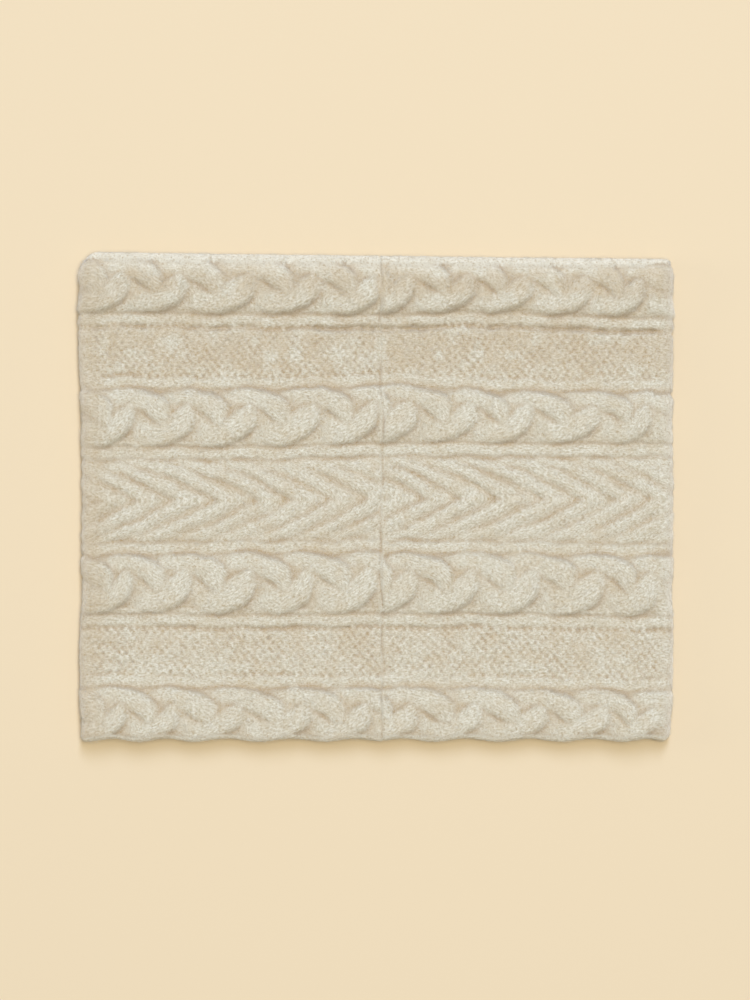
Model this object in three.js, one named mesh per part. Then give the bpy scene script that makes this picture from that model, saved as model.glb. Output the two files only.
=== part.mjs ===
// A snood: a thick felted wool tube worn round the neck, here laid flat.
// It is knitted as one long strip with its cables running lengthways, and the two ends are
// joined by one upright seam, so the wall is a single piece with a single open bore.
// X runs across the laid tube from fold to fold, Y from the lower rim to the upper one, and
// Z up from the surface that it lies on. The origin is on that surface, under the middle.
import * as THREE from "three";

// Driving dimensions, in millimetres.
const laidWidth = 300; // across both folds
const clearGap = 4.6; // between the two layers
const underInside = 4.8; // height of the under layer's inner face
const foldWall = 4; // wall thickness round a fold
const cableCrest = 5; // wall thickness on top of a cable
const chevronCrest = 5;
const ridgeCrest = 3.9;
const mossWall = 3.2;
const grooveWall = 2.7; // in the purl valleys beside each ridge
const rimWall = 4.2;
const rimRound = 1.3; // how far the rims round over at their corners

// The strip's bands from the upper rim down. left and right are the heights where each starts
// at the two folds, because the tube was laid down a little askew.
const bands = [
  { kind: "cable", left: 122.2, right: 118.7 },
  { kind: "ridge", left: 90.4, right: 88.2 },
  { kind: "moss", left: 85.1, right: 82.5 },
  { kind: "ridge", left: 58.2, right: 57.7 },
  { kind: "cable", left: 53.5, right: 52.5 },
  { kind: "ridge", left: 24.0, right: 26.0 },
  { kind: "chevron", left: 18.2, right: 20.4 },
  { kind: "ridge", left: -24.1, right: -22.5 },
  { kind: "cable", left: -30.4, right: -29.3 },
  { kind: "ridge", left: -58.8, right: -59.8 },
  { kind: "moss", left: -65.7, right: -66.8 },
  { kind: "ridge", left: -89.8, right: -91.5 },
  { kind: "cable", left: -95.7, right: -98.2 },
];
const lowerRim = { left: -122.2, right: -121.8 };

// The corners of the laid outline round off, each by its own radius.
const corners = { upperLeft: 9, upperRight: 2, lowerLeft: 4, lowerRight: 10 };

// How far the two folds draw in at some heights: the cables and chevrons pull the knit tighter
// than the moss stitch does. Towards the middle of the tube the pull fades away.
const foldBows = [
  { height: 123, left: 0.6, right: 0 },
  { height: 112, left: 0, right: 0.2 },
  { height: 72, left: 0.6, right: 0 },
  { height: 40, left: 2.2, right: 0.4 },
  { height: 0, left: 2.6, right: 0 },
  { height: -45, left: 2.2, right: 0.4 },
  { height: -77, left: 1, right: 0 },
  { height: -123, left: 1.8, right: 0.8 },
];
const bowReach = 40; // from a fold to where its pull has faded away

// Cables and chevrons.
const cablePeriod = 30.5; // along the strip, from one crossing to the next like it
const chevronPeriod = 19.6;
const chevronLean = 1.7; // how far a rib runs along the strip for each millimetre across it
const cableLumps = 1.5; // how far the crossings swell above the rest of a cable
const chevronGrooves = 0.9;
const pressedShare = 0.15; // of the relief that is left where the tube lies on its own weight
const notchDepth = 1.5; // of the scallops that the last cable gives the lower rim

// The seam that joins the strip's ends, on the upper layer.
const seamX = 2.3;
const seamReach = 3; // from the seam's line to where the wall is whole again
const seamDepth = 1.3;

// How finely the wall is faceted.
const upperSteps = 50;
const underSteps = 33;
const foldSteps = 6;

const foldRadius = clearGap / 2; // inside a fold
const foldCentreX = laidWidth / 2 - foldWall - foldRadius;
const middleZ = underInside + foldRadius;

const mix = (a, b, share) => a + (b - a) * share;
const acrossShare = (x) => THREE.MathUtils.clamp(x / laidWidth + 0.5, 0, 1);

// Places round the bore: the wall's inner point, the direction out through the wall, the
// distance along the strip, and how much of the knitted relief shows there.
function stationsRound() {
  const upperXs = [];
  for (let i = 0; i < upperSteps; i++) {
    upperXs.push(mix(-foldCentreX, foldCentreX, i / upperSteps));
  }
  const clearOfSeam = upperXs.filter((x) => Math.abs(x - seamX) > seamReach + 1);
  const seamXs = [-seamReach, -seamReach / 3, 0, seamReach / 3, seamReach].map((d) => seamX + d);
  const upper = [...clearOfSeam, ...seamXs]
    .sort((a, b) => a - b)
    .map((x) => ({ x, z: middleZ + foldRadius, outX: 0, outZ: 1, relief: 1 }));
  const under = [];
  for (let i = 0; i < underSteps; i++) {
    const x = mix(foldCentreX, -foldCentreX, i / underSteps);
    under.push({ x, z: underInside, outX: 0, outZ: -1, relief: pressedShare });
  }
  const fold = (side) => {
    const turned = [];
    for (let i = 0; i < foldSteps; i++) {
      const angle = (i / foldSteps) * Math.PI;
      const outX = side * Math.sin(angle);
      const outZ = side * Math.cos(angle);
      const x = side * foldCentreX + foldRadius * outX;
      turned.push({ x, z: middleZ + foldRadius * outZ, outX, outZ, relief: 0, fold: Math.sin(angle) });
    }
    return turned;
  };
  const round = [...upper, ...fold(1), ...under, ...fold(-1)];
  let along = 0;
  round.forEach((station, i) => {
    const last = round[Math.max(i - 1, 0)];
    along += Math.hypot(station.x - last.x, station.z - last.z);
    station.along = along;
  });
  return round;
}

// How much a cable swells at a place: its strands bulge by turns in its upper and lower half.
function cableSwell(along, across) {
  const turn = (2 * Math.PI * along) / cablePeriod;
  return 0.5 + 0.5 * Math.cos(turn + (across > 0 ? Math.PI : 0));
}

// How high a chevron's ribs stand: they lean from both edges towards the middle.
function chevronSwell(along, fromMiddle) {
  const turn = (2 * Math.PI * (along + chevronLean * Math.abs(fromMiddle))) / chevronPeriod;
  return 0.5 + 0.5 * Math.cos(turn);
}

// The wall's thickness in a band, across it from -1 at its lower edge to 1 at its upper one.
function bandWall(band, halfHeight, along, across, relief) {
  const dome = Math.sqrt(1 - (across * 0.9) ** 2);
  if (band.kind === "cable") {
    const low = 1 - cableSwell(along, across);
    return mix(grooveWall, cableCrest, dome) - cableLumps * relief * low * dome;
  }
  if (band.kind === "chevron") {
    const low = 1 - chevronSwell(along, across * halfHeight);
    return chevronCrest - chevronGrooves * relief * low;
  }
  return band.kind === "ridge" ? ridgeCrest : mossWall;
}

// The rows of points across each band, between its grooves.
const rowsAcross = {
  cable: [0.75, 0.25, -0.25, -0.75],
  chevron: [0.8, 0.27, -0.27, -0.8],
  ridge: [0],
  moss: [0],
};

// The place that a point of the square-cornered tube moves to when its folds draw in and its
// corners round off.
function settle(x, y) {
  const side = x < 0 ? "left" : "right";
  const after = Math.max(1, foldBows.findIndex((bow) => bow.height <= y));
  const upper = foldBows[after - 1];
  const lower = foldBows[after];
  const share = THREE.MathUtils.smoothstep(y, lower.height, upper.height);
  const pull = THREE.MathUtils.smoothstep(Math.abs(x), laidWidth / 2 - bowReach, laidWidth / 2);
  const bow = pull * mix(lower[side], upper[side], share);

  const rim = y > 0 ? bands[0] : lowerRim;
  const rimHeight = Math.abs(mix(rim.left, rim.right, acrossShare(x)));
  const radius = corners[`${y > 0 ? "upper" : "lower"}${x < 0 ? "Left" : "Right"}`];
  const intoX = Math.max(0, Math.abs(x) - (laidWidth / 2 - radius)) / radius;
  const intoY = Math.max(0, Math.abs(y) - (rimHeight - radius)) / radius;
  const cutX = radius * intoX * (1 - Math.sqrt(1 - intoY ** 2 / 2));
  const cutY = radius * intoY * (1 - Math.sqrt(1 - intoX ** 2 / 2));
  return [x - Math.sign(x) * (bow + cutX), y - Math.sign(y) * cutY];
}

// The closed section of the wall at a station, as [height Y, offset out from the inner face],
// from the upper rim's inner corner over the outside to the lower rim's and back up inside.
function sectionAt(station) {
  const share = acrossShare(station.x);
  const top = mix(bands[0].left, bands[0].right, share);
  const notch = notchDepth * (1 - cableSwell(station.along, -1)) * Math.max(station.relief, 0.4);
  const bottom = mix(lowerRim.left, lowerRim.right, share) + notch;
  const fromSeam = station.outZ === 1 ? Math.abs(station.x - seamX) / seamReach : 1;
  const seamCut = seamDepth * Math.max(0, 1 - fromSeam);
  const foldShare = station.fold ?? 0;
  const wall = (thickness) => mix(thickness - seamCut, foldWall, foldShare);

  const section = [
    [top - rimRound, 0],
    [top, rimRound],
    [top, wall(rimWall) - rimRound],
    [top - rimRound, wall(rimWall)],
  ];
  bands.forEach((band, i) => {
    const next = bands[i + 1] ?? lowerRim;
    const start = i === 0 ? top - rimRound : mix(band.left, band.right, share);
    const end = i === bands.length - 1 ? bottom + rimRound : mix(next.left, next.right, share);
    if (i > 0) section.push([start, wall(grooveWall)]);
    for (const across of rowsAcross[band.kind]) {
      const thickness = bandWall(band, (start - end) / 2, station.along, across, station.relief);
      section.push([mix(end, start, (across + 1) / 2), wall(thickness)]);
    }
  });
  section.push(
    [bottom + rimRound, wall(rimWall)],
    [bottom, wall(rimWall) - rimRound],
    [bottom, rimRound],
    [bottom + rimRound, 0],
    [0, 0],
  );
  return section;
}

// The wall: every station's section joined to the next one's, all the way round the bore.
function knitTube() {
  const stations = stationsRound();
  const positions = [];
  const faces = [];
  let rows = 0;
  for (const station of stations) {
    const section = sectionAt(station);
    rows = section.length;
    for (const [height, offset] of section) {
      const [x, y] = settle(station.x + station.outX * offset, height);
      const z = Math.max(0, station.z + station.outZ * offset); // it lies flat on the surface
      positions.push(x, y, z);
    }
  }
  for (let i = 0; i < stations.length; i++) {
    const here = i * rows;
    const there = ((i + 1) % stations.length) * rows;
    for (let j = 0; j < rows; j++) {
      const next = (j + 1) % rows;
      faces.push(here + j, here + next, there + j);
      faces.push(here + next, there + next, there + j);
    }
  }
  const geometry = new THREE.BufferGeometry();
  geometry.setAttribute("position", new THREE.Float32BufferAttribute(positions, 3));
  geometry.setIndex(faces);
  geometry.computeVertexNormals();
  return geometry;
}

const wool = new THREE.MeshStandardMaterial({ color: 0xd6cfbc, roughness: 0.95, metalness: 0 });

const snood = new THREE.Group();
const tube = new THREE.Mesh(knitTube(), wool);
tube.name = "knit_tube";
snood.add(tube);

export default snood;
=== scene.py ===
# A snood: a thick felted wool tube worn round the neck, here laid flat and seen from above.
import math

import bpy
import numpy as np
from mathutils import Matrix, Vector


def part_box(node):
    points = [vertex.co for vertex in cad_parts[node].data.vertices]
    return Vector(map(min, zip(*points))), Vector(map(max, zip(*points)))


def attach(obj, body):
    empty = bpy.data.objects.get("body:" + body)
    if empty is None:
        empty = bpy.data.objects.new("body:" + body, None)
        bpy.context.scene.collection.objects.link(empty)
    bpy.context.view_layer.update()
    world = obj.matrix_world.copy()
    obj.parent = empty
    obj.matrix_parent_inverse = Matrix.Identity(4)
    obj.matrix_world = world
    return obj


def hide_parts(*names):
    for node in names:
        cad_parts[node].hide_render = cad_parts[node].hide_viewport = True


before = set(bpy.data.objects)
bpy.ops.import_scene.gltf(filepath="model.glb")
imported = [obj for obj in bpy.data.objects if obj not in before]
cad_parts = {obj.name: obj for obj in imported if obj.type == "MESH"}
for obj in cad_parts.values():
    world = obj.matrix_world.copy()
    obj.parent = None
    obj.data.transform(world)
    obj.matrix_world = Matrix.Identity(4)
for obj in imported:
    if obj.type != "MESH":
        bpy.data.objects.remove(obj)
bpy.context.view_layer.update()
MM = 0.001

# The knitted wall: one long strip of thick lambswool with its cables running lengthways, its two
# ends joined by one upright seam, then washed until it felted. Laid flat it folds at both sides.
# Heights and places below are in millimetres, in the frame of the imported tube.
tube_low, tube_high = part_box("knit_tube")
half_width = (tube_high[0] - tube_low[0]) / 2 / MM
seam_x = 2.3
seen_edge = 149  # the outermost place that shows from above
wall_base = 2.4  # the knit under all relief
stitch_length = 3.9  # of a V stitch, along the strip
inner_radius = 2.3  # inside a fold
under_inside = 4.8  # the under layer's inner face
fold_wall = 4.0
fold_x = half_width - fold_wall - inner_radius  # where the flat stretch ends and the fold begins
fold_turn = math.pi * (inner_radius + fold_wall / 2)  # the strip's length round one fold
flat_run = 2 * fold_x
strip_length = 2 * (flat_run + fold_turn)


def strip_place(x):
    """The strip's place at a point x of the upper layer. It runs from the seam to the right, round
    under, and back to the seam."""
    x = np.asarray(x, float)
    return np.where(x >= seam_x, x - seam_x, strip_length + x - seam_x)


# Heights of the six chain ridges where they pass some places of the upper layer. They wander a
# little, and step at the seam.
ridge_places = strip_place(
    [6, 36.5, 76.5, 111.5, seen_edge, -seen_edge, -113.5, -73.5, -36, -1]
)
ridge_heights = {
    1: [86.8, 88.8, 87.2, 86.2, 85.2, 88.0, 88.2, 87.2, 87.8, 87.0],
    2: [58.5, 56.2, 54.8, 54.8, 54.2, 55.8, 56.2, 55.5, 56.0, 57.2],
    3: [22.8, 23.2, 23.0, 22.8, 23.2, 21.2, 21.2, 21.2, 21.8, 22.8],
    4: [-26.2, -25.8, -26.2, -27.2, -27.2, -26.8, -26.8, -26.2, -26.2, -25.2],
    5: [-62.2, -61.8, -62.2, -62.8, -63.8, -62.2, -61.8, -62.8, -62.2, -61.8],
    6: [-92.8, -92.8, -93.8, -94.2, -95.2, -92.8, -92.8, -92.8, -93.2, -93.2],
}
ridge_half = 3.1  # half a ridge's width

# Where each cable's strands cross, and where the chevrons' ribs meet, on the upper layer: the
# places to the right of the seam, then those to the left.
cable_repeat = 30.5
chevron_repeat = 19.6
crossings = {
    1: ([25, 54.5, 82.5, 112.5, 143], [-120, -88.5, -55, -23]),
    2: ([25, 55, 83, 117.5, 146.5], [-115.5, -86, -55, -23.5]),
    3: ([25, 56.5, 87.5, 120], [-117.5, -87.5, -55, -26]),
    4: ([26.5, 59, 90, 121.5], [-121, -93, -61, -27.5]),
}
rib_tips = (
    [23, 41.5, 60, 81.5, 100, 118.5, 138],
    [-122.5, -101.5, -81, -61, -42, -23.5, -5.5],
)


def repeats(s, places, repeat):
    """How many repeats have gone by at s: a whole number at each place that was measured."""
    right, left = (strip_place(side) for side in places)
    between = round((left[0] - right[-1]) / repeat)
    at = np.concatenate([right, left])
    count = np.concatenate([np.arange(len(right)), len(right) - 1 + between + np.arange(len(left))])
    before = (s - at[0]) / repeat
    after = count[-1] + (s - at[-1]) / repeat
    return np.where(s < at[0], before, np.where(s > at[-1], after, np.interp(s, at, count)))


def blend_max(heights, softness):
    """The highest of several surfaces, with their meeting lines a little softened."""
    heights = np.array(heights)
    top = heights.max(axis=0)
    return top + softness * np.log(np.exp((heights - top) / softness).sum(axis=0))


def wander(s, y, size, seed):
    """Smooth unevenness from -1 to 1, with lumps of about that size in millimetres. Each seed gives
    a pattern of its own."""
    reach = 140  # above and below the middle of the tube
    around = round(strip_length / size)
    lumps = np.random.default_rng(seed).uniform(-1, 1, (math.ceil(2 * reach / size) + 2, around))
    along, up = s / strip_length * around, (y + reach) / size
    column, row = np.floor(along).astype(int), np.floor(up).astype(int)
    part_s, part_y = along - column, up - row
    part_s, part_y = part_s**2 * (3 - 2 * part_s), part_y**2 * (3 - 2 * part_y)
    here, there = column % around, (column + 1) % around
    lower = lumps[row, here] * (1 - part_s) + lumps[row, there] * part_s
    upper = lumps[row + 1, here] * (1 - part_s) + lumps[row + 1, there] * part_s
    return lower * (1 - part_y) + upper * part_y


def plait(s, across, turns, half, tall):
    """A cable: three plump strands side by side, each crossing over the middle by turns."""
    reach = 0.58 * half  # how far a strand's middle swings to either side
    shapes = []
    for strand in range(3):
        # Its middle line swings from side to side, with rounded turns at both edges.
        angle = 2 * np.pi * (turns + 0.06 + strand) / 3 + np.pi / 4
        side = np.cos(angle)
        centre = 0.04 * half + reach * (0.8 * side + 0.2 * np.sin(np.pi / 2 * side))
        rise = 0.8 + 0.2 * np.pi / 2 * np.cos(np.pi / 2 * side)
        slope = -reach * np.sin(angle) * rise * 2 * np.pi / (3 * cable_repeat)
        # Where it crosses another strand it comes up slowly from the edge and goes down fast.
        climb = 2 * angle - 0.2 - 0.2 * np.sin(angle)
        over = np.sin(climb) * 0.76 / (1 + 0.65 * np.cos(climb))
        # Its section is a dome with full shoulders, fuller still towards the cable's edge.
        from_centre = (across - centre) / np.sqrt(1 + slope**2)
        outward = np.sign(centre) * from_centre > 0
        fullness = np.where(outward, 7 + 2 * (centre / reach) ** 2, 7)
        out = np.abs(from_centre) / (half * (0.47 + 0.06 * over))
        dome = np.maximum(1 - 0.28 * out**2 - 0.72 * out**fullness, -3)
        # It stands higher on its leading side.
        lean = -0.7 * slope * from_centre / half
        shapes.append((tall * (0.3 + 0.72 * over + lean + 1.6 * dome) - 1.0, s, from_centre))
    # Between its strands the cable is filled, most of all in the middle.
    ground = 0.8 + tall * np.clip(1 - (across / half) ** 2, 0, None) ** 0.55
    return [*shapes, (ground, s, across)]


def chevrons(s, y, across, turns, half):
    """Ribs that lean from both edges towards the middle, each a little over the one before it."""
    off = np.sqrt(across**2 + 0.6)  # from the middle line, rounded where a rib's halves meet
    run = 1.6 * off + 0.5 * off**2 / half  # how far along the strip a rib has gone by there
    phase = turns + run / chevron_repeat + 0.05 * wander(s, y, 10, 22)
    wave = 0.5 - 0.5 * np.cos(2 * np.pi * (phase % 1) ** 0.76)
    # The ribs fade out towards the band's edges, and a small pit shows where two grooves meet.
    fade = np.clip((off / half - 0.5) / 0.5, 0, 1)
    strength = (1 - 0.75 * fade**2 * (3 - 2 * fade)) * (0.95 + 0.35 * wander(s, y, 8, 23))
    edge = 1 - 0.4 * np.clip((np.abs(across) / half - 0.8) / 0.2, 0, 1) ** 2
    pit = np.exp(-(((phase - np.round(phase)) / 0.1) ** 2) - (across / 1.5) ** 2)
    height = (1.2 + 1.6 * wave * strength) * edge - 0.4 * pit
    along_rib = 0.89 * turns * chevron_repeat - 0.46 * off
    across_rib = 0.46 * phase * chevron_repeat
    return [(height, along_rib, across_rib)]


def moss(s, y, across, half):
    """Moss stitch: a lattice of small purl bumps, pushed about a little by felting."""
    wide, high = 1.95, 2.3  # the lattice's steps, along the strip and across it
    bump_rows, bump_columns = 160, 310
    pushes = np.random.default_rng(11).uniform(-1, 1, (3, bump_rows, bump_columns))
    relief = np.zeros_like(s + y)
    for up in (-1, 0, 1):
        row = np.round(y / high).astype(int) + up
        for along in (-2, -1, 0, 1, 2):
            column = np.round(s / wide).astype(int) + along
            push_s, push_y, grow = pushes[:, row % bump_rows, column % bump_columns]
            from_s = (s - column * wide - 0.35 * push_s) / (1.75 + 0.25 * grow)
            from_y = (y - row * high - 0.3 * push_y) / (1.75 + 0.2 * grow)
            bump = 1 - (from_s**2 + from_y**2 + 0.2 * from_s * from_y) ** 1.5
            # Every other place of the lattice has a bump.
            raised = np.maximum(relief, (0.9 + 0.3 * grow) * bump)
            relief = np.where((row + column) % 2 == 0, raised, relief)
    patches = 0.25 * wander(s, y, 9, 6) + 0.1 * wander(s, y, 4, 12)
    edge = 0.2 * np.exp(-((half - np.abs(across)) ** 2))
    return [(0.4 + relief + patches - edge, s, y)]


def chain(s, y, off, top):
    """A ridge: one column of V stitches between two purl grooves."""
    vees = 0.05 * np.cos(2 * np.pi * (s / stitch_length + off / 3.2))
    edge = ridge_half + 0.45 * wander(s, y, 4.5, 7)
    uneven = 0.25 * wander(s, y, 17, 19)
    return [(top + vees + uneven - (0.8 + uneven) * (off / edge) ** 5, s, y)]


def outer_strand(s, cable, after):
    """1 where an outer strand of a cable swells furthest out of it, a share of a repeat after a
    crossing, and 0 between."""
    return 0.5 + 0.5 * np.cos(2 * np.pi * (repeats(s, crossings[cable], cable_repeat) - after))


def rims(s):
    """Heights of the upper and the lower rim; the last cable's strands scallop the lower one."""
    places = [0, strip_place(seen_edge), strip_place(-seen_edge), strip_length]
    upper = np.interp(s, places, [119.5, 117.8, 121.4, 119.5])
    lower = -121.1 - 1.7 * outer_strand(s, 4, 0.05)
    return upper, lower


def knit_relief(s, y):
    """The knit's height over its purl ground at a place of the strip, and where that place is along
    and across the stitches that show there."""
    upper_rim, lower_rim = rims(s)

    # Felting has moved every stitch a little.
    s = s + 1.3 * wander(s, y, 16, 1)
    y = y + 0.4 * wander(s, y, 14, 2) + 0.4 * wander(s, y, 5, 5) + 0.25 * wander(s, y, 2.5, 10)
    ridges = {ridge: np.interp(s, ridge_places, at) for ridge, at in ridge_heights.items()}
    push = 0.7  # of a cable's outer strands against the ridges beside it
    for ridge, cable in ((1, 1), (3, 2), (5, 3)):
        ridges[ridge] = ridges[ridge] - push * (outer_strand(s, cable, 0.15) - 0.5)
    for ridge, cable in ((2, 2), (4, 3), (6, 4)):
        ridges[ridge] = ridges[ridge] + push * (outer_strand(s, cable, 0.6) - 0.5)
    shapes = []
    for ridge, at in ridges.items():
        shapes += chain(s, y, np.abs(y - at), 0.9 if ridge == 1 else 1.4)

    def fill(upper, lower, band):
        """Lays a band's shapes between two heights, and lets them fall away outside."""
        half = (upper - lower) / 2
        across = y - (upper + lower) / 2
        outside = np.clip(np.abs(across) - half, 0, None)
        for height, along, beside in band(across, half):
            shapes.append((np.where(outside < 1.5, height, -3) - 3 * outside, along, beside))

    # The four cables, each between the ridges beside it, its middle line lifted a little.
    above = {1: upper_rim - 2}
    above.update({cable: ridges[2 * cable - 2] - ridge_half for cable in (2, 3, 4)})
    below = {cable: ridges[2 * cable - 1] + ridge_half for cable in (1, 2, 3)}
    below[4] = lower_rim
    eyes = 0  # the small dark holes where a strand dives under another
    for cable, tall, lift in ((1, 2.7, 1.2), (2, 2.45, 2.0), (3, 2.45, 2.3), (4, 2.45, 0.4)):
        turns = repeats(s, crossings[cable], cable_repeat)

        def lifted(across, half):
            middle_lift = lift * np.clip(1 - (across / half) ** 2, 0, None)
            return plait(s, across - middle_lift, turns, half, tall)

        fill(above[cable], below[cable], lifted)

        # An eye leans the way its strand dives.
        from_eye = (turns - np.round(turns)) * cable_repeat
        up = y - (above[cable] + below[cable]) / 2 + 0.4 - lift
        along_eye = (from_eye - 0.65 * up) / 1.19
        across_eye = (up + 0.65 * from_eye) / 1.19
        eyes = eyes + tall * np.exp(-((along_eye / 3.8) ** 2) - (across_eye / 1.3) ** 2)

    # The chevrons and both bands of moss stitch.
    turns = repeats(s, rib_tips, chevron_repeat)

    def ribbed(across, half):
        return chevrons(s, y, across, turns, half)

    def mossy(across, half):
        return moss(s, y, across, half)

    for over, under, band in ((3, 4, ribbed), (1, 2, mossy), (5, 6, mossy)):
        fill(ridges[over] - ridge_half, ridges[under] + ridge_half, band)

    # The upper rim's own edge.
    shapes.append((1.5 - 1.2 * np.clip(upper_rim - 4 - y, 0, None), s, y))

    # The highest shape shows at each place.
    shapes = np.array([np.broadcast_arrays(*shape) for shape in shapes])
    heights = shapes[:, 0]
    showing = heights.argmax(axis=0)[None]
    along = np.take_along_axis(shapes[:, 1], showing, axis=0)[0]
    beside = np.take_along_axis(shapes[:, 2], showing, axis=0)[0]
    relief = blend_max(heights, 0.25) * (1 + 0.16 * wander(s, y, 22, 3)) + 0.12 * wander(s, y, 3, 4)

    # The purl grooves beside each ridge: how deep the lower one is, how uneven, and how far the
    # upper one is filled.
    beads = 0.7 + 0.3 * wander(s, y, 25, 8) + 0.35 * wander(s, y, 3.5, 13)
    beads = beads + 0.1 * np.cos(2 * np.pi * s / stitch_length)
    groove_width = 1.2
    for ridge, depth, uneven, filled in (
        (1, 2.9, 0.3, -0.15),
        (2, 0.1, 1.2, 0),
        (3, 0.5, 0.6, 0.4),
        (4, 0.1, 0.7, -0.15),
        (5, 1.1, 0.5, 0.45),
        (6, 0, 0.6, 0),
    ):
        below_it = np.exp(-(((y - ridges[ridge] + ridge_half + 1) / groove_width) ** 2))
        relief = relief - (depth * beads + uneven * wander(s, y, 21, 20)) * below_it
        above_it = np.exp(-(((y - ridges[ridge] - ridge_half - 1) / groove_width) ** 2))
        relief = relief + (filled - 0.5 * wander(s, y, 19, 21)) * above_it
    relief = relief - 0.22 * eyes

    # Towards the upper rim the wall grows thinner.
    rim_taper = 8
    relief = relief - 1.5 * np.clip((y - upper_rim + rim_taper) / rim_taper, 0, 1) ** 2
    return relief, along, beside


# Columns of the mesh round the tube, finer beside the seam: each one's place on the strip, its inner
# point and the way out.
upper_columns, under_columns, fold_columns = 560, 200, 20
fine_reach = 2
beside_seam = np.arange(0, fine_reach, 0.25)
right_run = np.linspace(seam_x + fine_reach, fold_x, upper_columns // 2, endpoint=False)
right_run = np.concatenate([seam_x + beside_seam, right_run])
left_run = np.linspace(-fold_x, seam_x - fine_reach, upper_columns // 2, endpoint=False)
left_run = np.concatenate([left_run, seam_x - fine_reach + beside_seam, [seam_x]])
under_run = np.linspace(fold_x, -fold_x, under_columns, endpoint=False)
turning = np.linspace(0, np.pi, fold_columns, endpoint=False)
column_x = np.concatenate([
    right_run,
    fold_x + inner_radius * np.sin(turning),
    under_run,
    -fold_x - inner_radius * np.sin(turning),
    left_run,
])
middle = under_inside + inner_radius
fold_out = np.sin(turning) ** 0.8  # a little blunter than round
out_x = np.concatenate([
    np.zeros_like(right_run),
    fold_out,
    np.zeros_like(under_run),
    -fold_out,
    np.zeros_like(left_run),
])
out_z = np.concatenate([
    np.ones_like(right_run),
    np.cos(turning),
    -np.ones_like(under_run),
    -np.cos(turning),
    np.ones_like(left_run),
])
column_z = middle + inner_radius * out_z
column_s = np.concatenate([
    right_run - seam_x,
    fold_x - seam_x + fold_turn * turning / np.pi,
    fold_x - seam_x + fold_turn + fold_x - under_run,
    3 * fold_x - seam_x + fold_turn + fold_turn * turning / np.pi,
    strip_length + left_run - seam_x,
])
columns = len(column_s)

# Rows of the mesh round the wall's section: down the outside, round the lower rim, up the inside
# and round the upper rim.
outer_rows, rim_rows, inner_rows = 400, 8, 50
bulge_places = [-fold_x - 6, -fold_x + 8, fold_x - 8, fold_x + 6]
upper_bulge = np.interp(column_x, bulge_places, [2.5, 4.5, 4.5, 1.2])
lower_bulge = 2.6
upper_rim, lower_rim = rims(column_s)
share = np.linspace(0, 1, outer_rows)[:, None]
outer_y = (upper_rim - upper_bulge) * (1 - share) + (lower_rim + lower_bulge) * share
outer_s = np.broadcast_to(column_s, outer_y.shape)


def spread(surface, reach_columns, reach_rows):
    """Each point's mean over its surroundings, in columns round the tube and rows down it."""
    for axis, reach, mode in ((1, reach_columns, "wrap"), (0, reach_rows, "edge")):
        more = [(reach, reach) if axis == other else (0, 0) for other in (0, 1)]
        padded = np.pad(surface, more, mode=mode)
        length = surface.shape[axis]
        shifts = range(2 * reach + 1)
        surface = sum(np.take(padded, range(shift, shift + length), axis) for shift in shifts)
        surface = surface / len(shifts)
    return surface


relief, along_stitches, across_stitches = knit_relief(outer_s, outer_y)

# The two ends of the strip were cut and joined, so the pattern breaks off at the seam, in a
# shallow wandering groove.
from_seam = (outer_s + strip_length / 2) % strip_length - strip_length / 2
seam_columns = len(beside_seam)
both_sides = (relief[:, seam_columns] + relief[:, -1 - seam_columns])[:, None] / 2
joined = np.exp(-((from_seam / 1.3) ** 2))
relief = relief * (1 - joined) + both_sides * joined
seam_wander = 0.8 * np.sin(outer_y / 17) + 0.5 * np.sin(outer_y / 5.1)
seam_depth = 0.65 + 0.25 * np.sin(outer_y / 4.3)
relief = relief - seam_depth * np.exp(-(((from_seam - seam_wander) / 0.6) ** 2))

# Felting rounds every edge of the relief off.
relief = spread(relief, 1, 1)

# Pulled round the folds, the relief is flatter.
round_fold = 0.6 * np.clip((np.abs(column_x) - fold_x + 6) / 8, 0, 1)
relief = relief * (1 - round_fold) + relief.mean(axis=1)[:, None] * round_fold
thickness = wall_base + relief

# The rims roll over from the outside to the inside, where faint purl rows show near the mouths.
rolling = np.linspace(0, np.pi, rim_rows + 2)[1:-1, None]
lower_y = lower_rim + lower_bulge - lower_bulge * np.sin(rolling)
lower_out = thickness[-1] * (1 + np.cos(rolling)) / 2
upper_y = upper_rim - upper_bulge + upper_bulge * np.sin(rolling[::-1])
upper_out = thickness[0] * (1 + np.cos(rolling[::-1])) / 2
share = 0.5 + 0.5 * np.cos(np.linspace(0, np.pi, inner_rows))[:, None]
inner_y = (upper_rim - upper_bulge) * (1 - share) + (lower_rim + lower_bulge) * share
into_mouth = 120 - np.abs(inner_y)  # from either rim
purl_height = 4.6  # from one purl row to the next
purl_rows = np.cos(2 * np.pi * inner_y / purl_height)
purl_rows = purl_rows + 0.6 * np.cos(2 * np.pi * (column_s / 4 + inner_y / (2 * purl_height)))
inner_out = 0.25 * purl_rows * np.clip(1.2 - into_mouth / 25, 0, 1)
height = np.concatenate([outer_y, lower_y, inner_y, upper_y])
outward = np.concatenate([thickness, lower_out, inner_out, upper_out])
height = np.vstack([height, height[:1]])
outward = np.vstack([outward, outward[:1]])
rows = len(height)

place_x = column_x + out_x * outward
place_z = column_z + out_z * outward

# Between the folds the upper layer sags a little, and it lies in soft waves.
from_fold = np.clip((fold_x - np.abs(column_x)) / 60, 0, 1)
sag = 1.4 + 0.9 * wander(column_s, height, 55, 18)
place_z = place_z - np.where(out_z > 0.5, from_fold**2 * (3 - 2 * from_fold) * sag, 0)

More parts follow.
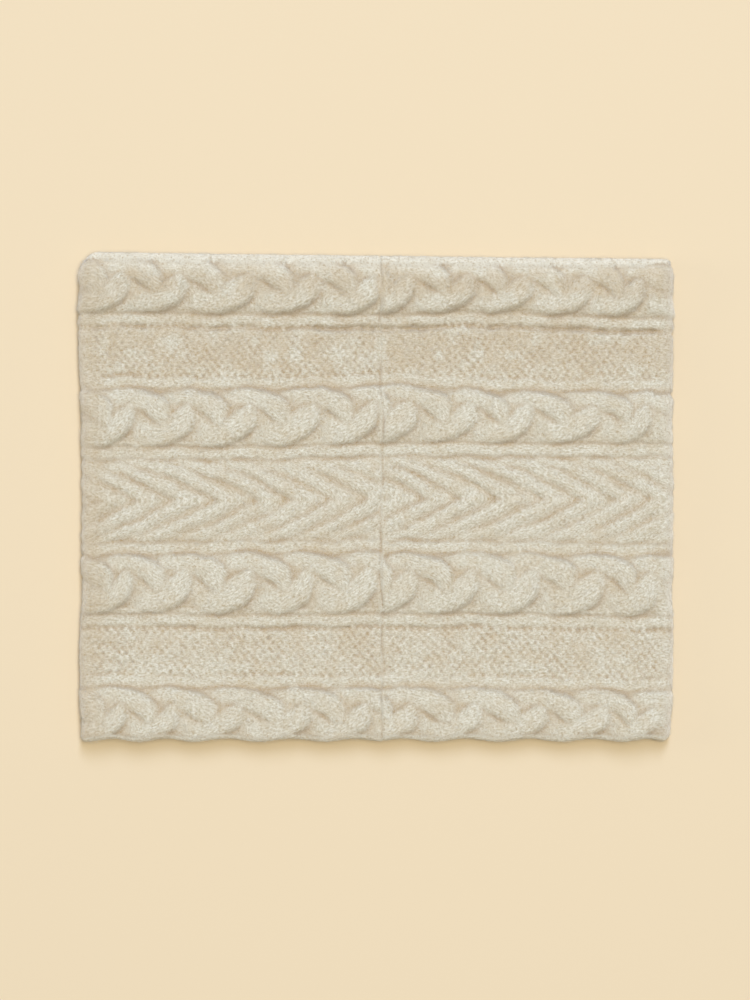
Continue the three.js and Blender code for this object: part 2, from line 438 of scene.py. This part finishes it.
# The folds draw in where the cables and chevrons pull the knit tight, and the corners round off.
bow_heights = [-123, -77, -45, 0, 40, 72, 112, 123]
left_bows = np.interp(height, bow_heights, [1.8, 1.2, 2.4, 2.6, 2.0, 0.8, 0.8, 1.6])
right_bows = np.interp(height, bow_heights, [3.0, 2.0, 2.2, 2.0, 2.4, 2.0, 2.2, 1.9])
band_wall = np.interp(-height[:, 0], -outer_y[:, 0], thickness.mean(axis=1))
bows = np.where(place_x < 0, left_bows, right_bows) + (band_wall - fold_wall)[:, None]
bow_reach = 40
near_fold = np.clip((np.abs(place_x) - half_width + bow_reach) / bow_reach, 0, 1)
pull = near_fold**2 * (3 - 2 * near_fold) * bows
rim_height = np.where(height > 0, upper_rim, -lower_rim)
upper_corner = np.where(place_x < 0, 12.0, 1.5)
lower_corner = np.where(place_x < 0, 2.5, 8.0)
corner = np.where(height > 0, upper_corner, lower_corner)
into_x = np.clip((np.abs(place_x) - pull - half_width + corner) / corner, 0, 1)
into_y = np.clip((np.abs(height) - rim_height + corner) / corner, 0, 1)
cut_x = corner * into_x * (1 - np.sqrt(1 - into_y**2 / 2))
cut_y = corner * into_y * (1 - np.sqrt(1 - into_x**2 / 2))
place_x = place_x - np.sign(place_x) * (pull + cut_x)
place_y = height - np.sign(height) * cut_y

# Where it rests it is pressed flat on the floor.
give = 0.25
place_z = give * np.logaddexp(0, place_z / give)
place_z = place_z - place_z.min()

# The two ends of the strip meet along the seam.
for places in (place_x, place_y, place_z):
    places[:, 0] = places[:, -1] = (places[:, 0] + places[:, -1]) / 2

bpy.ops.object.select_all(action="DESELECT")
bpy.ops.mesh.primitive_grid_add(x_subdivisions=columns - 1, y_subdivisions=rows - 1, size=1)
knit = bpy.context.object
knit.name = "knit_wall"
knit.data.name = "knit_wall"
wall = np.stack([place_x, place_y, place_z], axis=-1)
knit.data.vertices.foreach_set("co", wall.ravel() * MM)

# The bake's map is the wall unrolled: along the strip, and round the wall's section.
step = np.linalg.norm(np.diff(wall, axis=0), axis=-1).mean(axis=1)
around = np.concatenate([[0], np.cumsum(step)]) / step.sum()
unrolled = np.stack(np.broadcast_arrays(column_s / strip_length, around[:, None]), axis=-1)
face_points = np.empty(len(knit.data.loops), int)
knit.data.loops.foreach_get("vertex_index", face_points)
unrolled = unrolled.reshape(-1, 2)[face_points]
bake_map = knit.data.uv_layers.active
bake_map.name = "OFBake"
bake_map.uv.foreach_set("vector", unrolled.astype(np.float32).ravel())

# How deep each point lies in the creases and in the wider hollows, which get a browner painted shade,
# as do the steep sides of the strands.
crease_depth, hollow_depth = 0.4, 0.8  # below their surroundings, where they are brownest
crease_shade = np.zeros_like(place_x)
crease_shade[:outer_rows] = np.clip((spread(relief, 3, 3) - relief) / crease_depth, 0, 1)
row_height = (outer_y[0] - outer_y[1]).mean()
column_width = strip_length / columns
steep = np.hypot(np.gradient(relief, axis=0) / row_height, np.gradient(relief, axis=1) / column_width)
crease_shade[:outer_rows] += 0.3 * np.clip(steep - 0.5, 0, 1)
fine_patches = 0.5 * wander(outer_s, outer_y, 2.5, 16)
wide_patches = 0.6 * wander(outer_s, outer_y, 11, 17)
crease_shade[:outer_rows] *= 1 + fine_patches + wide_patches
hollow_shade_and_patches = np.zeros_like(place_x)
hollow_shade_and_patches[:outer_rows] = np.clip((spread(relief, 12, 10) - relief) / hollow_depth, 0, 1)

# Painted shade also darkens and browns both moss bands and the middle of the first cable as a whole.
brown_bands = 1.3 * np.exp(-(((outer_y - 74) / 11) ** 2))
brown_bands += 0.3 * np.exp(-(((outer_y + 72) / 8) ** 2))
brown_bands += 0.9 * np.exp(-(((outer_y - 106) / 7) ** 2))
hollow_shade_and_patches[:outer_rows] += brown_bands * (1 + 1.6 * wander(outer_s, outer_y, 7, 14))
# The wool's own browner and paler patches, at random.
hollow_shade_and_patches[:outer_rows] += 0.3 * wander(outer_s, outer_y, 11, 15)
# Painted shade round the left fold.
hollow_shade_and_patches[:outer_rows] += np.clip((-136 - column_x) / 8, 0, 1)

# Painted light: the upper rim and the turns of the folds are made paler, as if lit.
painted_light = 0.5 * np.clip(1 - (upper_rim - height) / 12, 0, 1) * np.ones_like(place_x)
painted_light = painted_light + 0.5 * np.clip(1 - (upper_rim - height) / 1.5, 0, 1)
painted_light = np.maximum(painted_light, np.clip(1.5 - 1.5 * np.abs(out_z), 0, 1))
painted_light = painted_light * np.clip(outward - 0.3, 0, 1) * np.where(out_z < 0, 0.4, 1)

# Where each point is along and across the stitches, for the patterns that follow them.
along = np.broadcast_to(column_s, place_x.shape).copy()
along[:outer_rows] = along_stitches
across = height.copy()
across[:outer_rows] = across_stitches
for name, values in (
    ("crease_shade", crease_shade),
    ("hollow_shade_and_patches", hollow_shade_and_patches),
    ("painted_light", painted_light),
    ("along", along * MM),
    ("across", across * MM),
):
    layer = knit.data.attributes.new(name, "FLOAT", "POINT")
    layer.data.foreach_set("value", values.ravel().astype(np.float32))

# The wall is closed at the seam and the upper rim, and its triangles are thinned where it is smooth.
wall_triangles = 196000
bpy.ops.object.mode_set(mode="EDIT")
bpy.ops.mesh.select_all(action="SELECT")
bpy.ops.mesh.remove_doubles(threshold=0.00001)
bpy.ops.mesh.normals_make_consistent(inside=False)
bpy.ops.object.mode_set(mode="OBJECT")
thin = knit.modifiers.new("thin", "DECIMATE")
thin.ratio = wall_triangles / sum(len(face.vertices) - 2 for face in knit.data.polygons)
bpy.ops.object.modifier_apply(modifier="thin")
bpy.ops.object.shade_smooth()

# The wool: a mottled yarn whose pattern follows the stitches, with brown flecks and patches, painted
# shade in its creases and hollows, and painted light on the upper rim and the folds.
wool = bpy.data.materials.new("felted_wool")
wool.use_nodes = True
nodes, links = wool.node_tree.nodes, wool.node_tree.links
surface = nodes["Principled BSDF"]
surface.inputs["Roughness"].default_value = 0.95
surface.inputs["Sheen Weight"].default_value = 0.6
surface.inputs["Sheen Roughness"].default_value = 0.5
surface.inputs["Specular IOR Level"].default_value = 0.2
position = nodes.new("ShaderNodeTexCoord").outputs["Object"]


def srgb(red, green, blue):
    """A linear colour from its usual 0 to 255 numbers."""
    return (*((channel / 255) ** 2.2 for channel in (red, green, blue)), 1)


def noise(scale, rough=0.6, stretch=(1, 1, 1), pattern=position):
    """Mottling of a size, over the wall's place or over another pattern."""
    turn = nodes.new("ShaderNodeMapping")
    turn.inputs["Scale"].default_value = stretch
    links.new(pattern, turn.inputs["Vector"])
    made = nodes.new("ShaderNodeTexNoise")
    made.inputs["Scale"].default_value = scale
    made.inputs["Detail"].default_value = 3
    made.inputs["Roughness"].default_value = rough
    links.new(turn.outputs["Vector"], made.inputs["Vector"])
    return made.outputs["Fac"]


def ramp(value, low, high):
    """0 where a value is low, and 1 where it is high."""
    made = nodes.new("ShaderNodeMapRange")
    made.inputs["From Min"].default_value = low
    made.inputs["From Max"].default_value = high
    links.new(value, made.inputs["Value"])
    return made.outputs["Result"]


def tint(colour, share, onto, strength=1.0):
    """Lays a colour over another one, by its share at each place."""
    made = nodes.new("ShaderNodeMix")
    made.data_type = "RGBA"
    made.inputs["B"].default_value = colour
    scaled = nodes.new("ShaderNodeMath")
    scaled.operation = "MULTIPLY"
    scaled.inputs[1].default_value = strength
    links.new(share, scaled.inputs[0])
    links.new(scaled.outputs["Value"], made.inputs["Factor"])
    if isinstance(onto, tuple):
        made.inputs["A"].default_value = onto
    else:
        links.new(onto, made.inputs["A"])
    return made.outputs["Result"]


def attribute(name):
    """What the mesh says of itself at each point, under a name."""
    made = nodes.new("ShaderNodeAttribute")
    made.attribute_name = name
    return made.outputs["Fac"]


stitches = nodes.new("ShaderNodeCombineXYZ")
links.new(attribute("along"), stitches.inputs["X"])
links.new(attribute("across"), stitches.inputs["Y"])
yarn = noise(1250, stretch=(0.5, 1, 1), pattern=stitches.outputs["Vector"])
pale_yarn = srgb(227, 224, 212)
dark_yarn = srgb(189, 181, 159)
brown_patch = srgb(190, 170, 136)
painted_light_pale = srgb(244, 239, 225)
brown_fleck = srgb(164, 140, 102)
shade_and_patch_brown = srgb(176, 146, 102)
crease_shade_brown = srgb(152, 120, 80)
colour = tint(pale_yarn, ramp(yarn, 0.36, 0.64), dark_yarn)
colour = tint(brown_patch, ramp(noise(120), 0.45, 0.7), colour, 0.3)
# Painted light on the upper rim and the turns of the folds.
colour = tint(painted_light_pale, attribute("painted_light"), colour, 0.95)
colour = tint(brown_fleck, ramp(noise(1000, rough=0.7), 0.53, 0.7), colour, 0.75)
# Painted shade in the hollows, the moss bands, the first cable's middle and the left fold, with the
# wool's own browner patches.
colour = tint(shade_and_patch_brown, ramp(attribute("hollow_shade_and_patches"), 0, 1), colour, 0.27)
# Painted shade in the creases and on the strands' steep sides.
colour = tint(crease_shade_brown, ramp(attribute("crease_shade"), 0, 1), colour, 0.36)
links.new(colour, surface.inputs["Base Color"])

# Its nap: the yarn's own pattern, with a finer one on top.
nap = nodes.new("ShaderNodeMath")
nap.operation = "MULTIPLY_ADD"
links.new(noise(2000, rough=0.7), nap.inputs[0])
nap.inputs[1].default_value = 1.5
links.new(yarn, nap.inputs[2])
bump = nodes.new("ShaderNodeBump")
bump.inputs["Strength"].default_value = 0.54
bump.inputs["Distance"].default_value = 0.4 * MM
links.new(nap.outputs["Value"], bump.inputs["Height"])
links.new(bump.outputs["Normal"], surface.inputs["Normal"])
knit.data.materials.append(wool)

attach(knit, "root")
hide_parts("knit_tube")

# The fuzz: lambswool fibres that washing has drawn out of the yarn. They lie along the stitches,
# curl a little off them, and soften every edge. Each is a closed spindle of two or three lengths.
fibre_radius = 0.04
fibre_steps = (0.7, 2.0)  # the least and the greatest length of a fibre from one bend to the next
fibre_curl = 0.5  # how far it turns off the stitches and at each bend, in radians
fuzz_triangles = 198000  # of each piece
row_step = np.gradient(wall, axis=0)
column_step = np.gradient(wall, axis=1)
out_of_wall = np.cross(row_step, column_step)
patch = np.linalg.norm(out_of_wall, axis=-1)
out_of_wall = out_of_wall / np.maximum(patch, 1e-6)[..., None]
row_length = np.linalg.norm(row_step, axis=-1)
column_length = np.linalg.norm(column_step, axis=-1)
lie = np.arctan2(
    -np.gradient(across, axis=1) / np.maximum(column_length, 0.05),
    -np.gradient(across, axis=0) / np.maximum(row_length, 0.05),
)


def on_wall(grid, row, column):
    """What a grid over the wall holds between its rows and columns."""
    low_row, low_column = np.floor(row).astype(int), np.floor(column).astype(int)
    part_row, part_column = row - low_row, column - low_column
    low_row, low_column = low_row % (rows - 1), low_column % (columns - 1)
    if grid.ndim == 3:
        part_row, part_column = part_row[..., None], part_column[..., None]
    left = grid[low_row, low_column] * (1 - part_row) + grid[low_row + 1, low_column] * part_row
    low_column = low_column + 1
    right = grid[low_row, low_column] * (1 - part_row) + grid[low_row + 1, low_column] * part_row
    return left * (1 - part_column) + right * part_column


fibre = bpy.data.materials.new("wool_fibre")
fibre.use_nodes = True
nodes, links = fibre.node_tree.nodes, fibre.node_tree.links
surface = nodes["Principled BSDF"]
surface.inputs["Roughness"].default_value = 0.9
surface.inputs["Sheen Weight"].default_value = 0.6
surface.inputs["Specular IOR Level"].default_value = 0.2
pale_fibre = srgb(228, 223, 208)
dark_fibre = srgb(195, 180, 151)
colour = tint(pale_fibre, ramp(attribute("tone"), 0, 0.8), dark_fibre)
links.new(colour, surface.inputs["Base Color"])


def add_fuzz(name, chance, bends, seed):
    """Adds one piece of fuzz: closed spindles with one or two bends, spread by chance over the wall."""
    random = np.random.default_rng(seed)
    count = fuzz_triangles // (6 * bends)
    chance = (chance * patch)[:-1, :-1].ravel()
    cell = random.choice(len(chance), count, p=chance / chance.sum())
    row = cell // (columns - 1) + random.random(count)
    column = cell % (columns - 1) + random.random(count)
    length = random.uniform(*fibre_steps, count)
    heading = on_wall(lie, row, column) + random.normal(0, fibre_curl, count)
    heading = heading + np.pi * random.integers(0, 2, count)
    bend = random.normal(0, fibre_curl, count)
    stray = random.random(count) ** 4
    per_row = np.maximum(on_wall(row_length, row, column), 0.1)
    per_column = np.maximum(on_wall(column_length, row, column), 0.1)
    spine, outward = [], []
    # How far each end and bend stands off the wall: a fibre starts just inside it.
    rises = {
        1: (-0.05, 0.05 + 0.2 * stray, 0.5 * stray),
        2: (-0.05, 0.25 + 0.35 * stray, 0.3 + 0.8 * stray, 0.1 + 1.3 * stray),
    }
    for rise in rises[bends]:
        normal = on_wall(out_of_wall, row, column)
        spine.append(on_wall(wall, row, column) + normal * np.broadcast_to(rise, count)[:, None])
        outward.append(normal)
        row = row - np.sin(heading) * length / per_row
        column = column + np.cos(heading) * length / per_column
        heading = heading + bend
    points = [spine[0]]
    for ring in range(1, bends + 1):
        forward = spine[ring + 1] - spine[ring - 1]
        beside = np.cross(forward, outward[ring])
        beside = beside / np.maximum(np.linalg.norm(beside, axis=-1), 1e-6)[:, None]
        for turn in np.radians([90, 210, 330]):
            off = np.sin(turn) * outward[ring] + np.cos(turn) * beside
            points.append(spine[ring] + fibre_radius * off)
    points.append(spine[-1])
    points = np.stack(points, axis=1)
    points[..., 2] = np.maximum(points[..., 2], 0.02)  # none goes into the floor
    each = points.shape[1]

    around = [(1, 2), (2, 3), (3, 1)]
    faces = [(0, b, a) for a, b in around]
    faces += [(a + each - 5, b + each - 5, each - 1) for a, b in around]
    if bends == 2:
        faces += [face for a, b in around for face in ((a, b, b + 3), (a, b + 3, a + 3))]
    triangles = (np.array(faces) + each * np.arange(count)[:, None, None]).reshape(-1, 3)
    mesh = bpy.data.meshes.new(name)
    mesh.from_pydata(points.reshape(-1, 3) * MM, [], triangles)
    layer = mesh.attributes.new("tone", "FLOAT", "POINT")
    layer.data.foreach_set("value", np.repeat(random.random(count), each).astype(np.float32))

    # On the bake's map each fibre has a small square of its own.
    per_side = math.ceil(math.sqrt(count))
    square = np.stack([np.arange(count) % per_side, np.arange(count) // per_side], axis=-1)
    spots = [(0.1, 0.5)]
    for ring in range(1, bends + 1):
        spots += [(0.2 + 0.3 * ring, 0.3 * turn + 0.2) for turn in range(3)]
    spots += [(0.95, 0.5)]
    mapped = (square[:, None] + np.array(spots)).reshape(-1, 2) / per_side
    bake_map = mesh.uv_layers.new(name="OFBake")
    bake_map.uv.foreach_set("vector", mapped[triangles.ravel()].astype(np.float32).ravel())
    mesh.materials.append(fibre)
    fuzz = bpy.data.objects.new(name, mesh)
    bpy.context.collection.objects.link(fuzz)
    bpy.ops.object.select_all(action="DESELECT")
    fuzz.select_set(True)
    bpy.context.view_layer.objects.active = fuzz
    bpy.ops.object.shade_smooth()
    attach(fuzz, "root")


# Short fibres lie over the whole upper layer. Longer ones stand round the edges and just inside the
# mouths, and few are left on the pressed underside.
outside = np.ones((rows, 1), bool)
outside[outer_rows + rim_rows:-rim_rows - 1] = False
facing = out_of_wall[..., 2]
for name, seed in (("fuzz_upper_a", 21), ("fuzz_upper_b", 22), ("fuzz_upper_c", 23)):
    add_fuzz(name, outside * (facing > 0.2), 1, seed)
mouth_rows = 8
mouth = np.zeros((rows, 1))
mouth[outer_rows + rim_rows:outer_rows + rim_rows + mouth_rows] = 0.5
mouth[-rim_rows - 1 - mouth_rows:-rim_rows - 1] = 0.5
edges_under = outside * np.where(facing < -0.9, 0.05, facing < 0.5)
add_fuzz("fuzz_edges_under", edges_under + mouth, 2, 24)

# The floor that it lies on, the soft light from the picture's top, and the camera straight above.
bpy.ops.mesh.primitive_plane_add(size=6)
floor = bpy.context.object
floor.name = "floor"
paper = bpy.data.materials.new("pale_paper")
paper.use_nodes = True
surface = paper.node_tree.nodes["Principled BSDF"]
surface.inputs["Base Color"].default_value = srgb(222, 204, 174)
surface.inputs["Roughness"].default_value = 1
floor.data.materials.append(paper)


def area_light(name, place, size, watts, colour):
    """A soft oval light that faces the snood."""
    bpy.ops.object.light_add(type="AREA", location=place)
    lamp = bpy.context.object
    lamp.name = name
    lamp.data.shape = "ELLIPSE"
    lamp.data.size, lamp.data.size_y = size
    lamp.data.energy = watts
    lamp.data.color = colour
    lamp.rotation_mode = "QUATERNION"
    lamp.rotation_quaternion = lamp.location.to_track_quat("Z", "Y")


area_light("key", (0.3, 2.1, 3.6), (1.0, 2.6), 72.5, (0.85, 1.03, 1.43))
area_light("left_fill", (-1.8, 0.2, 0.8), (0.8, 0.8), 3.5, (1.0, 0.97, 0.85))
area_light("overhead", (0.3, 0.06, 3.0), (1.2, 0.8), 51.2, (1.03, 0.98, 0.82))
world = bpy.data.worlds.new("studio")
bpy.context.scene.world = world
world.use_nodes = True
world.node_tree.nodes["Background"].inputs["Color"].default_value = (1, 0.92, 0.77, 1)
world.node_tree.nodes["Background"].inputs["Strength"].default_value = 0.3

picture_height = 0.5  # what the picture takes in at the middle of the tube's thickness
middle_height = 0.007
camera_height = 1.6
bpy.ops.object.camera_add(location=(-0.001, -0.00225, camera_height))
camera = bpy.context.object
camera.data.lens = camera.data.sensor_width * (camera_height - middle_height) / picture_height
bpy.context.scene.camera = camera
bpy.context.scene.view_settings.view_transform = "Standard"
